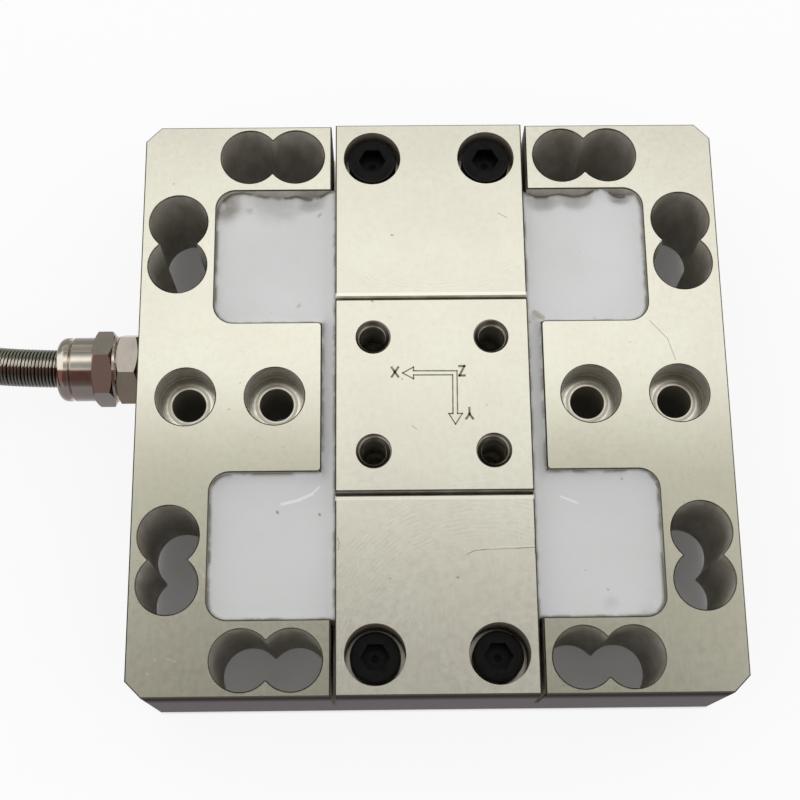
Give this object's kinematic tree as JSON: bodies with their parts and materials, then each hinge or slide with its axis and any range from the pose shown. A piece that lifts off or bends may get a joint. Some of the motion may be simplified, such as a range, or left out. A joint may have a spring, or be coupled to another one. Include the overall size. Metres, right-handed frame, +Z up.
{
  "type": "multi-axis force sensor",
  "caption": "Flat square force sensor with wire-cut flexures, a centre beam with a threaded platform, silicone potting, and a cable with a spring guard.",
  "frame": {"origin": "centre of the square frame, in the plane of the feet that it is bolted down on", "axes": "+Z up out of the platform, +X along the two lugs and away from the cable gland, +Y along the centre beam"},
  "size_m": [0.2879, 0.1328, 0.03],
  "materials": {
    "cable_coil": "dark grey polyurethane cable jacket, satin",
    "cable_cores": "coloured core insulation with tinned ends",
    "cable_lead": "dark grey polyurethane cable jacket, satin",
    "cable_sleeve": "black heat-shrink sleeve",
    "cap_screw_front_left": "blackened high-tensile screw steel",
    "cap_screw_front_right": "blackened high-tensile screw steel",
    "cap_screw_rear_left": "blackened high-tensile screw steel",
    "cap_screw_rear_right": "blackened high-tensile screw steel",
    "core_bundle": "bundle of insulated cores under clear tape",
    "gauge_coat_front": "white-grey silicone, soft satin, slightly uneven",
    "gauge_coat_rear": "white-grey silicone, soft satin, slightly uneven",
    "gland_body": "polished nickel plate",
    "gland_bush": "black nitrile rubber",
    "gland_nut": "polished nickel plate",
    "gland_seal_ring": "black nitrile rubber",
    "potting_left": "white-grey silicone, soft satin, slightly uneven",
    "potting_right": "white-grey silicone, soft satin, slightly uneven",
    "sensor_frame": "ground stainless steel, warm pale silver, fine brushing and milling marks",
    "spring_guard": "bright spring steel, close wound",
    "terminal_board_left": "green glass-fibre terminal board with tinned pads",
    "terminal_board_right": "green glass-fibre terminal board with tinned pads",
    "wire_loom_left": "enamelled wires under a clear sleeve",
    "wire_loom_right": "enamelled wires under a clear sleeve",
    "x_gauges_front_left": "amber polyimide foil gauge",
    "x_gauges_front_right": "amber polyimide foil gauge",
    "x_gauges_rear_left": "amber polyimide foil gauge",
    "x_gauges_rear_right": "amber polyimide foil gauge",
    "y_gauges_front_left": "amber polyimide foil gauge",
    "y_gauges_front_right": "amber polyimide foil gauge",
    "y_gauges_rear_left": "amber polyimide foil gauge",
    "y_gauges_rear_right": "amber polyimide foil gauge",
    "z_beam": "ground stainless steel, warm pale silver, fine brushing and milling marks",
    "z_gauges_front": "amber polyimide foil gauge",
    "z_gauges_rear": "amber polyimide foil gauge"
  },
  "bodies": {
    "root": {"cable_coil": "cable_coil", "cable_cores": "cable_cores", "cable_lead": "cable_lead", "cable_sleeve": "cable_sleeve", "cap_screw_front_left": "cap_screw_front_left", "cap_screw_front_right": "cap_screw_front_right", "cap_screw_rear_left": "cap_screw_rear_left", "cap_screw_rear_right": "cap_screw_rear_right", "core_bundle": "core_bundle", "gauge_coat_front": "gauge_coat_front", "gauge_coat_rear": "gauge_coat_rear", "gland_body": "gland_body", "gland_bush": "gland_bush", "gland_nut": "gland_nut", "gland_seal_ring": "gland_seal_ring", "potting_left": "potting_left", "potting_right": "potting_right", "sensor_frame": "sensor_frame", "spring_guard": "spring_guard", "terminal_board_left": "terminal_board_left", "terminal_board_right": "terminal_board_right", "wire_loom_left": "wire_loom_left", "wire_loom_right": "wire_loom_right", "x_gauges_front_left": "x_gauges_front_left", "x_gauges_front_right": "x_gauges_front_right", "x_gauges_rear_left": "x_gauges_rear_left", "x_gauges_rear_right": "x_gauges_rear_right", "y_gauges_front_left": "y_gauges_front_left", "y_gauges_front_right": "y_gauges_front_right", "y_gauges_rear_left": "y_gauges_rear_left", "y_gauges_rear_right": "y_gauges_rear_right", "z_beam": "z_beam", "z_gauges_front": "z_gauges_front", "z_gauges_rear": "z_gauges_rear"}
  },
  "joints": []
}
